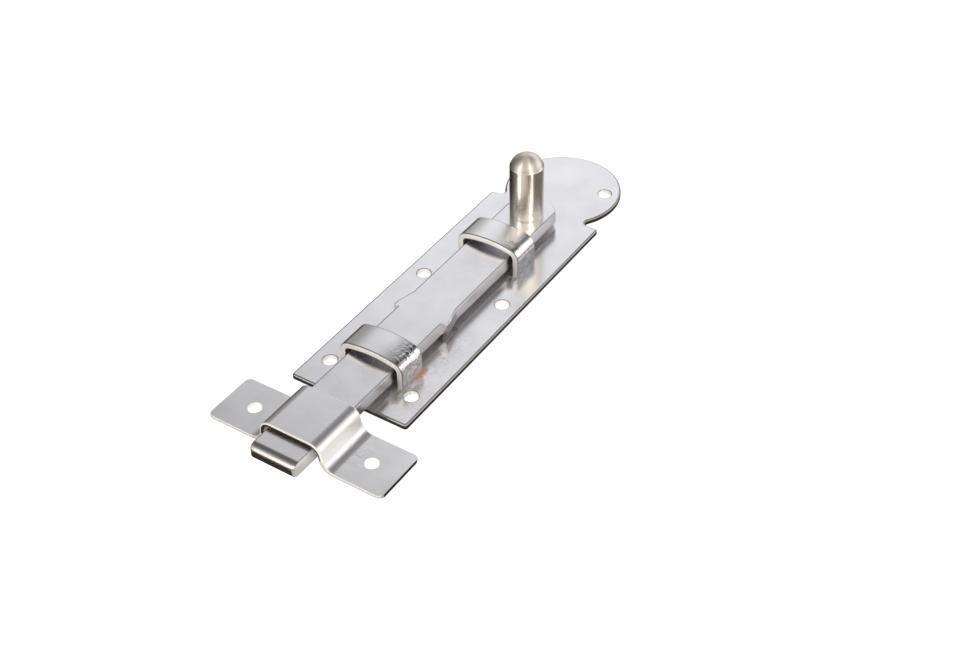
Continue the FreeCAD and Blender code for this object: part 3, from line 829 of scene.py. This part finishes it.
# %% [markdown]
# ## Guides
# Each guide is a strap of 2.5 mm steel: straight legs, small bends and a crown that rises over the
# bar. Its legs end in narrower tenons that pass through the plate and are spread at the back. The
# strap's front and back faces are paler than its top, and its rounded edges are painted dark, a
# painted dark reflection.

# %% Guide path
GUIDE_CROWN = 40.0 * MM
GUIDE_BEND = 2.0 * MM
GUIDE_HEAD = 11.5 * MM
GUIDE_EDGE = 0.45 * MM
GUIDE_STEPS = 12
GUIDE_FACE_PALE = 0.5
# how dark the rounded edges are painted: a painted dark reflection
GUIDE_EDGE_SHADE = 0.8


def guide_path():
    """Middle line of a guide, from one foot over the crown to the other."""
    half_thick = GUIDE_THICK / 2
    centre_z = GUIDE_HEAD - GUIDE_CROWN
    reach = GUIDE_INSIDE - GUIDE_BEND
    rise = sqrt((GUIDE_CROWN - GUIDE_BEND) ** 2 - reach ** 2)
    turn = degrees(atan2(rise, reach))
    path = [(TENON_MIDDLE, PLATE_THICK)]
    path += arc((reach, centre_z + rise), GUIDE_BEND + half_thick, 0, turn, GUIDE_STEPS)
    path += arc((0, centre_z), GUIDE_CROWN + half_thick, turn, 90, GUIDE_STEPS)[1:]
    return both_sides(path)


# %% Tenons
def tenon(name, x, side):
    """A strap's end in its slot, spread where it is staked."""
    rows = ((0.0, STAKE), (STAKE, 0.0), (PLATE_THICK, 0.0))
    points = []
    for height, spread in rows:
        outline = rectangle(x, side * TENON_MIDDLE, TENON_LONG + 2 * spread, GUIDE_THICK + 2 * spread)
        points += [(px, py, height) for px, py in outline]
    faces = [(0, 1, 2, 3), (8, 9, 10, 11)]
    return mesh_object(name, points, faces + band(0, 4, 4) + band(4, 8, 4))


# %% Make the guides
def make_guide(node):
    """A guide's strap and its two tenons."""
    low, high = guide_boxes[node]
    middle = guide_middles[node]
    strap = bent_strip(node + "_strap", guide_path(), high.x - low.x, GUIDE_THICK, middle, guide_zinc,
                       GUIDE_EDGE)
    tenons = [soften(tenon(node + "_tenon", middle, side)) for side in (-1, 1)]
    guide = join(node + "_strap_piece", [soften(strap)] + tenons)
    smooth(guide)
    mark(guide, "wall", lambda face: GUIDE_FACE_PALE * (abs(face.normal.x) > STEEP))
    # rounded edges painted dark: painted dark reflection
    mark(guide, "cut", lambda face: GUIDE_EDGE_SHADE * (LEANING < abs(face.normal.x) < STEEP))
    return guide


for node in guide_boxes:
    install(make_guide(node), node, "plate", guide_zinc)

# %% [markdown]
# ## Keeper
# The keeper is thinner sheet bent to a hat, with leaning legs and a wide sweep at each foot. Its
# screw holes are punched after bending, and the corners of its flanges are clipped round. Shears
# leave an edge that is smooth and bright on one side and torn on the other. The torn side under the
# hat and the flanges' ends are painted dark: torn steel, with painted shade and dark reflection.

# %% Keeper path
KEEPER_THICK = 1.5 * MM
KEEPER_LEG = 11.5 * MM
KEEPER_BEND = 3.2 * MM
KEEPER_FOOT = 4.5 * MM
KEEPER_LEAN = 9.0
KEEPER_CORNER = 2.2 * MM
KEEPER_EDGE = 0.5 * MM
KEEPER_STEPS = 12


def keeper_path():
    """Middle line of the keeper, from one flange over the hat to the other."""
    half_thick = KEEPER_THICK / 2
    lean = radians(KEEPER_LEAN)
    bend_z = keeper_high.z - KEEPER_THICK - KEEPER_BEND
    bend_y = KEEPER_LEG - KEEPER_BEND * cos(lean)
    foot_z = KEEPER_THICK + KEEPER_FOOT
    reach = KEEPER_BEND + KEEPER_THICK + KEEPER_FOOT
    foot_y = bend_y + (reach - (foot_z - bend_z) * sin(lean)) / cos(lean)
    corner_start = keeper_high.y - KEEPER_CORNER
    ends = [corner_start + KEEPER_CORNER * sin(radians(a)) for a in range(90, -1, -10)]
    path = [(y, half_thick) for y in ends]
    path += arc((foot_y, foot_z), KEEPER_FOOT + half_thick, 270, 180 + KEEPER_LEAN, KEEPER_STEPS)
    path += arc((bend_y, bend_z), KEEPER_BEND + half_thick, KEEPER_LEAN, 90, KEEPER_STEPS)
    return both_sides(path)


# %% Cut and punch the keeper
PUNCH_HEIGHTS = (-1 * MM, 5 * MM)


def clip_corners(piece):
    """Narrow the flanges' ends to round corners."""
    half = (keeper_high.x - keeper_low.x) / 2
    middle = (keeper_high.x + keeper_low.x) / 2
    start = keeper_high.y - KEEPER_CORNER
    for vertex in piece.data.vertices:
        past = min(max(abs(vertex.co.y) - start, 0.0), KEEPER_CORNER)
        reach = half - KEEPER_CORNER + sqrt(KEEPER_CORNER ** 2 - past ** 2)
        vertex.co.x = middle + (vertex.co.x - middle) * reach / half


def punch(piece, centres, radius):
    """Cut round holes through a piece."""
    for x, y in centres:
        ring = circle(x, y, radius)
        count = len(ring)
        points = [(px, py, height) for height in PUNCH_HEIGHTS for px, py in ring]
        faces = [tuple(range(count)), tuple(range(count, 2 * count))]
        cutter = mesh_object("punch", points, faces + band(0, count, count))
        cut = piece.modifiers.new("hole", "BOOLEAN")
        cut.object = cutter
        cut.operation = "DIFFERENCE"
        cut.solver = "EXACT"
        piece = settle(piece)
        bpy.data.objects.remove(cutter)
    return piece


# %% Where the keeper is cut and painted dark, pale or matt
HAT_FROM = 5 * MM
SHEAR_SIDE = 0.25
LEG_SIDE = 0.85
LEG_MATT_SIDE = 0.93
HAT_EDGE_PALE = 0.9
FLANGE_EDGE_PALE = 0.5
LEG_PALE = 0.45
LEG_MATT = 0.3
BEND_MATT = 0.8
BEND_MATT_RISE = 4


def sheared(face):
    """1 on the smooth part of the sheared edges, -1 on the torn part under the hat, 0 elsewhere."""
    if abs(face.normal.x) < SHEAR_SIDE:
        return 0
    outwards = face.normal.y if face.center.y > 0 else -face.normal.y
    outer = face.normal.z + 0.3 * outwards > 0.1
    return 1 if outer or face.center.z < HAT_FROM else -1


def keeper_paleness(face, holes):
    """How pale a face is: hole walls, smooth edges, and legs, where the zinc was stretched."""
    if in_a_hole(face, holes):
        return 1.0
    if sheared(face) > 0:
        return HAT_EDGE_PALE if face.center.z > HAT_FROM else FLANGE_EDGE_PALE
    on_leg = face.center.z > KEEPER_THICK and abs(face.center.y) > KEEPER_LEG
    return LEG_PALE * (on_leg and abs(face.normal.y) > LEG_SIDE)


def keeper_mattness(face):
    """How matt a face is: most on the hat's smooth edge, less on the bends, least on the legs."""
    if sheared(face) > 0 and face.center.z > HAT_FROM:
        return 1.0
    lean = abs(face.normal.y)
    return BEND_MATT * min(1.0, BEND_MATT_RISE * lean) if lean < LEG_MATT_SIDE else LEG_MATT


def keeper_cut_and_shade(face, holes):
    """1 on torn edges and on the flanges' ends, 0 elsewhere: torn steel, also painted dark for shade and
    dark reflection.
    """
    at_end = face.center.z < KEEPER_THICK and abs(face.normal.y) > 0.8
    return sheared(face) < 0 or at_end and not in_a_hole(face, holes)


# %% Make the keeper
def make_keeper():
    """The keeper, bent, clipped, punched and marked."""
    middle = (keeper_high.x + keeper_low.x) / 2
    width = keeper_high.x - keeper_low.x
    hat = bent_strip("keeper_hat", keeper_path(), width, KEEPER_THICK, middle, keeper_zinc, KEEPER_EDGE)
    clip_corners(hat)
    half_pitch = mounts["keeper_screws"]["dims"]["spacing_y_mm"] * MM / 2
    holes = [(middle, side * half_pitch) for side in (-1, 1)]
    hat = soften(punch(hat, holes, SCREW_HOLE))
    mark(hat, "wall", lambda face: keeper_paleness(face, holes))
    mark(hat, "matt", keeper_mattness)
    # torn edges and flange ends get the dark colour: torn steel plus painted shade and dark reflection
    mark(hat, "cut", lambda face: keeper_cut_and_shade(face, holes))
    return hat


install(make_keeper(), "keeper", "plate", keeper_zinc)

# %% [markdown]
# ## Slide bar
# The bar is drawn flat steel. Its sides lean in a little towards the top, its nose is rolled over,
# its rear end is struck round, and two stops are pinched out of its edges with a chisel-shaped
# punch, which also drives a lug down below the bar, a little in from the stop's side. It is lofted:
# a section is drawn at each station along the bar, and the sections are joined.

# %% Bar sizes
BAR_EDGE = 0.6 * MM
BAR_DRAFT = 0.3 * MM
NOSE_LENGTH = 3.2 * MM
NOSE_FACE = 3.0 * MM
TIP_CORNER = 1.5 * MM
TIP_EDGE = 0.3 * MM
END_RADIUS = 11.5 * MM
STOP_FRONT = -1.8 * MM
STOP_LENGTH = 2.5 * MM
STOP_RAMP = 7.0 * MM
STOP_BITE = 2.6 * MM
STOP_EDGE = 0.5 * MM
STOP_REACH = bar_high.y - BAR_HALF
LUG_FOOT = bar_low.z
LUG_INSET = 1.6 * MM
LUG_ROUND = 0.35 * MM
SMALL = 0.1 * MM
HAIR = 0.02 * MM
SEAM = 0.01 * MM
EDGE_STEPS = 4
ROW_POINTS = 6
PALE_FROM = keeper_high.x - 9 * MM


# %% Sections of the bar
def blend(first, second, share):
    """Points on the way from one list to another."""
    return [(a[0] + (b[0] - a[0]) * share, a[1] + (b[1] - a[1]) * share) for a, b in zip(first, second)]


def row(start, count):
    """Points from start to the middle along y, without the first."""
    return [(start[0] - start[0] * (i + 1) / count, start[1]) for i in range(count)]


def plain_quarters(half, top, under, inset):
    """Upper and lower right quarters of the bar's section, each from the side to the middle."""
    edge = min(BAR_EDGE, half)
    upper_half = half - BAR_DRAFT * (top - under) / BAR_THICK
    upper = [(half - inset - BAR_DRAFT / 2, (top + under) / 2)]
    upper += arc((upper_half - edge - inset, top - edge - inset), edge, 0, 90, EDGE_STEPS)
    upper += row(upper[-1], ROW_POINTS)
    lower = [(half - inset - BAR_DRAFT / 2, (top + under) / 2 - SEAM)]
    lower += arc((half - edge - inset, under + edge + inset), edge, 0, -90, EDGE_STEPS)
    lower += row(lower[-1], ROW_POINTS)
    return upper, lower


def struck_quarters():
    """The same quarters at a stop, with as many points: the edge's arc becomes a lug."""
    outer = BAR_HALF + STOP_REACH
    root = BAR_HALF - STOP_BITE
    upper = [(outer, (BAR_TOP + BAR_UNDER) / 2)]
    upper += arc((outer - STOP_EDGE, BAR_TOP - STOP_EDGE), STOP_EDGE, 0, 90, EDGE_STEPS)
    upper += row(upper[-1], ROW_POINTS)
    lower = [(outer, (BAR_TOP + BAR_UNDER) / 2 - SEAM), (outer, BAR_UNDER + LUG_ROUND),
             (outer - SMALL, BAR_UNDER + SMALL), (outer - LUG_ROUND, BAR_UNDER),
             (outer - LUG_INSET, BAR_UNDER), (outer - LUG_INSET - SMALL, LUG_FOOT), (root, LUG_FOOT),
             (root - SMALL, BAR_UNDER)]
    lower += row(lower[-1], ROW_POINTS - 2)
    return upper, lower


# %% Stations along the bar
def section_ring(upper, lower, x_of):
    """One closed ring of points from its right-hand quarters."""
    left_up = [(-y, z) for y, z in reversed(upper)]
    left_down = [(-y, z) for y, z in lower]
    ring = upper[:-1] + left_up + left_down + lower[-2::-1]
    return [(x_of(y), y, z) for y, z in ring]


def nose_top(x):
    """Height of the bar's top, which rolls over at the nose."""
    start = bar_high.x - NOSE_LENGTH
    if x <= start:
        return BAR_TOP
    fall = BAR_THICK - NOSE_FACE
    radius = (NOSE_LENGTH ** 2 + fall ** 2) / (2 * fall)
    return BAR_TOP - radius + sqrt(radius ** 2 - (x - start) ** 2)


def rolled_back(past, radius):
    """How far a quarter round has fallen back, a given way past its start."""
    past = min(max(past, 0.0), radius)
    return radius - sqrt(radius ** 2 - past ** 2)


def stop_share(x):
    """0 on the plain bar, 1 on a stop, and in between on its ramp."""
    full = STOP_FRONT - STOP_LENGTH
    if x > STOP_FRONT or x < full - STOP_RAMP:
        return 0.0
    return min(1.0, (x - full + STOP_RAMP) / STOP_RAMP)


def bar_rings():
    """Rings of the whole bar, from its tip to its rear end."""
    tip = bar_high.x
    nose = [tip - TIP_CORNER + TIP_CORNER * sin(radians(a)) for a in range(90, -1, -10)]
    nose += [tip - TIP_EDGE + TIP_EDGE * sin(radians(a)) for a in (60, 30, 0)]
    nose += [tip - NOSE_LENGTH * (1 - i / 10) for i in range(11)]
    stop = [STOP_FRONT + HAIR, STOP_FRONT, STOP_FRONT - STOP_LENGTH]
    stop += [STOP_FRONT - STOP_LENGTH - STOP_RAMP * i / 6 for i in range(7)]
    plain = [PALE_FROM, 40 * MM, 0.0, -40 * MM]
    struck_pair = struck_quarters()
    rings = []
    for x in sorted(set(nose + stop + plain), reverse=True):
        inset = rolled_back(x - tip + TIP_EDGE, TIP_EDGE)
        half = BAR_HALF - rolled_back(x - tip + TIP_CORNER, TIP_CORNER)
        plain_pair = plain_quarters(half, nose_top(x), BAR_UNDER, inset)
        share = stop_share(x)
        upper, lower = (blend(a, b, share) for a, b in zip(plain_pair, struck_pair))
        rings.append(section_ring(upper, lower, lambda y, x=x: x))
    return rings + end_rings()


def end_rings():
    """Rings that swell into the rear end, struck from the knob's axis, and then roll over its edge."""
    rows = [(share, 0.0, 0.0) for share in (0.0, 0.25, 0.5, 0.75)]
    for turn in (0, 30, 60, 90):
        inset, forward = (BAR_EDGE * (1 - way(radians(turn))) for way in (cos, sin))
        rows.append((1.0, inset, forward))
    rings = []
    for share, inset, forward in rows:
        def x_of(y, share=share, forward=forward):
            return KNOB_AXIS + forward - share * sqrt(END_RADIUS ** 2 - min(abs(y), BAR_HALF) ** 2)

        rings.append(section_ring(*plain_quarters(BAR_HALF, BAR_TOP, BAR_UNDER, inset), x_of))
    return rings


# %% Loft
def loft(name, rings):
    """Join rings of equal size, and close both ends with faces from side to side."""
    count = len(rings[0])
    points = [point for ring in rings for point in ring]
    faces = []
    for r in range(len(rings) - 1):
        faces += band(r * count, (r + 1) * count, count)
    for base in (0, (len(rings) - 1) * count):
        for i in range(count // 2 - 1):
            faces.append((base + i, base + i + 1, base + count - 2 - i, base + count - 1 - i))
    return mesh_object(name, points, faces)


# %% Where the bar is painted dark for shade and reflections, or is pale
# how dark each part of the bar is painted: painted shade and painted dark reflections on its tip, rolled
# nose, edges, sides and lug, and under the keeper; none at the stops
BAR_SHADE = {
    "tip": 1.0, "lower edge": 1.0, "nose foot": 0.9, "lug": 0.85, "side": 0.22,
    "tip roll": 0.5, "stop": 0.0, "right edge": 0.4, "left edge": 0.8, "flat": 0.0,
}
SIDE_FROM = 0.9
EDGE_FROM = 0.15
# length of the painted dark reflection band on the rolled nose
TIP_DARK = 1.8 * MM
STOP_BRIGHT = 2.0 * MM
UNDERSIDE_PALE = 0.4
NOSE_SIDE_PALE = 0.45


def bar_place(face):
    """The part of the bar to which a face belongs."""
    x, z = face.center.x, face.center.z
    across, up = face.normal.y, face.normal.z
    low = z < BAR_UNDER + BAR_EDGE - SMALL
    if x > bar_high.x - HAIR:
        return "tip"
    if low and -STEEP < up < -LEANING:
        return "lower edge"
    if low and x > PALE_FROM and up > -STEEP:
        return "nose foot"
    if z < BAR_UNDER - SMALL:
        return "lug"
    if abs(across) > SIDE_FROM:
        return "side"
    if bar_high.x - TIP_DARK < x < bar_high.x - TIP_EDGE:
        return "tip roll"
    if abs(across) < EDGE_FROM:
        return "flat"
    if across < 0:
        return "left edge"
    at_stop = STOP_FRONT - STOP_LENGTH - STOP_BRIGHT < x < STOP_FRONT + SMALL
    return "stop" if at_stop else "right edge"


def bar_paleness(face):
    """How pale a face of the bar is: its underside, and its sides beyond the keeper."""
    if face.normal.z < -STEEP:
        return UNDERSIDE_PALE
    on_side = abs(face.normal.y) > 0.3 and face.normal.z > -LEANING
    return NOSE_SIDE_PALE * (on_side and face.center.x > PALE_FROM)


# %% Make the bar
def make_bar():
    """The bar, lofted and marked."""
    bar = soften(loft("slide_bar_flat", bar_rings()), angle=38)
    # the dark colour here is painted shade and painted dark reflection
    mark(bar, "cut", lambda face: BAR_SHADE[bar_place(face)])
    mark(bar, "wall", bar_paleness)
    return bar


install(make_bar(), "slide_bar", "bolt", bar_zinc)

# %% [markdown]
# ## Knob
# The knob is turned from round bar: a straight shank, a slight taper and a domed head. Below the
# shank a tenon passes through the bar, and its end is riveted over. A lathe sweeps one outline
# around an axis, and so does this function.

# %% Knob outline
KNOB_RADIUS = knob_high.y
KNOB_EDGE = 0.4 * MM
KNOB_SHANK = 22.5 * MM
KNOB_TAPER = 0.2 * MM
KNOB_NECK = 6.6 * MM
RIVET_RADIUS = 4.0 * MM
RIVET_HEAD = 5.6 * MM
RIVET_EDGE = 0.8 * MM
TURN_STEPS = 96
SHANK_STEPS = 8
DOME_STEPS = 16
RIVET_STEPS = 5


def knob_outline():
    """(radius, height) from the bottom of the rivet head to the top of the dome."""
    neck_z = BAR_TOP + KNOB_SHANK + KNOB_TAPER
    dome = knob_high.z - neck_z
    dome_radius = (KNOB_NECK ** 2 + dome ** 2) / (2 * dome)
    centre_z = knob_high.z - dome_radius
    start = degrees(atan2(neck_z - centre_z, KNOB_NECK))
    outline = [(0.0, knob_low.z), (RIVET_HEAD - RIVET_EDGE, knob_low.z)]
    outline += arc((RIVET_HEAD - RIVET_EDGE, knob_low.z + RIVET_EDGE), RIVET_EDGE, -75, 0, RIVET_STEPS)
    outline += [(RIVET_HEAD, BAR_UNDER), (RIVET_RADIUS, BAR_UNDER), (RIVET_RADIUS, BAR_TOP)]
    outline += [(KNOB_RADIUS - KNOB_EDGE, BAR_TOP), (KNOB_RADIUS, BAR_TOP + KNOB_EDGE)]
    shank_z = BAR_TOP + KNOB_SHANK
    outline += [(KNOB_RADIUS, BAR_TOP + KNOB_SHANK * i / SHANK_STEPS) for i in range(1, SHANK_STEPS)]
    outline += [(KNOB_RADIUS, shank_z)]
    outline += arc((0.0, centre_z), dome_radius, start, 90, DOME_STEPS)
    return outline


def turned(name, outline, x, steps):
    """Sweep an outline around the upright axis at x."""
    points = []
    for radius, height in outline:
        for i in range(steps):
            turn = 2 * pi * i / steps
            points.append((x + radius * cos(turn), radius * sin(turn), height))
    faces = []
    for r in range(len(outline) - 1):
        faces += band(r * steps, (r + 1) * steps, steps)
    return mesh_object(name, points, faces)


def make_knob():
    """The knob, turned from its outline."""
    return soften(turned("knob_pin", knob_outline(), KNOB_AXIS, TURN_STEPS), angle=30)


install(make_knob(), "knob", "bolt", knob_zinc)
